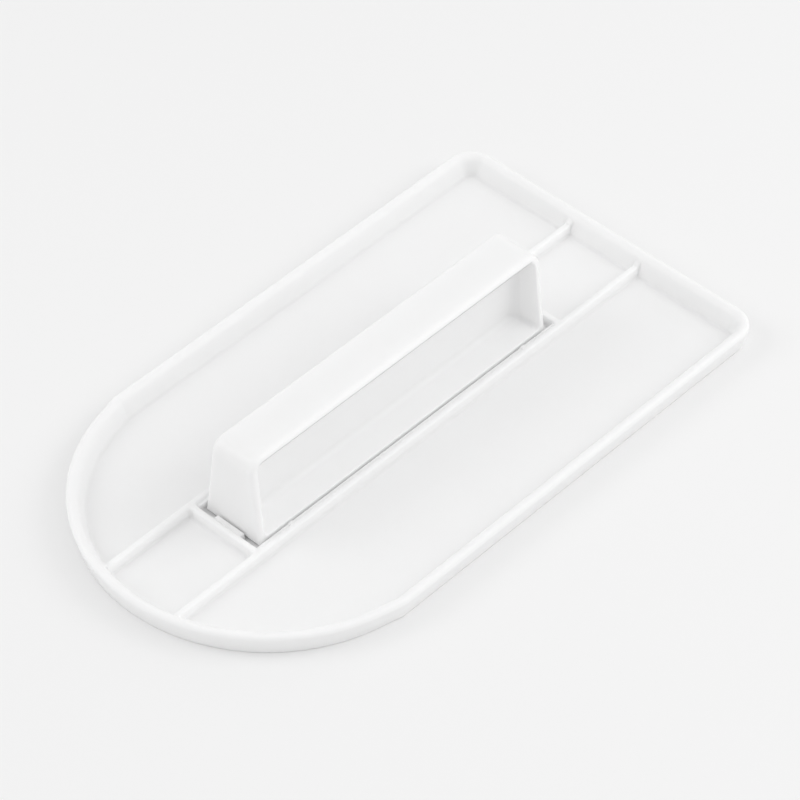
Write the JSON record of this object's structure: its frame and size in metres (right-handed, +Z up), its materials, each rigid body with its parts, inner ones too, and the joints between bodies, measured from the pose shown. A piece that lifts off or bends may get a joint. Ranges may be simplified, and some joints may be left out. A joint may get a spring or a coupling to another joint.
{
  "type": "hand smoother",
  "caption": "Flat D-shaped plastic smoothing plate with a flared rim, stiffening ribs and a recessed finger grip, for smoothing icing or a soft filler by hand.",
  "frame": {"origin": "middle of the plate's flat sole, on the surface it stands on", "axes": "+Z up from the sole, +X along the plate towards its square end, +Y across the plate"},
  "size_m": [0.148, 0.0838, 0.0229],
  "materials": {
    "base_plate": "satin white moulded plastic, polished sole",
    "handle": "satin white moulded plastic"
  },
  "bodies": {
    "root": {"base_plate": "base_plate", "handle": "handle"}
  },
  "joints": []
}
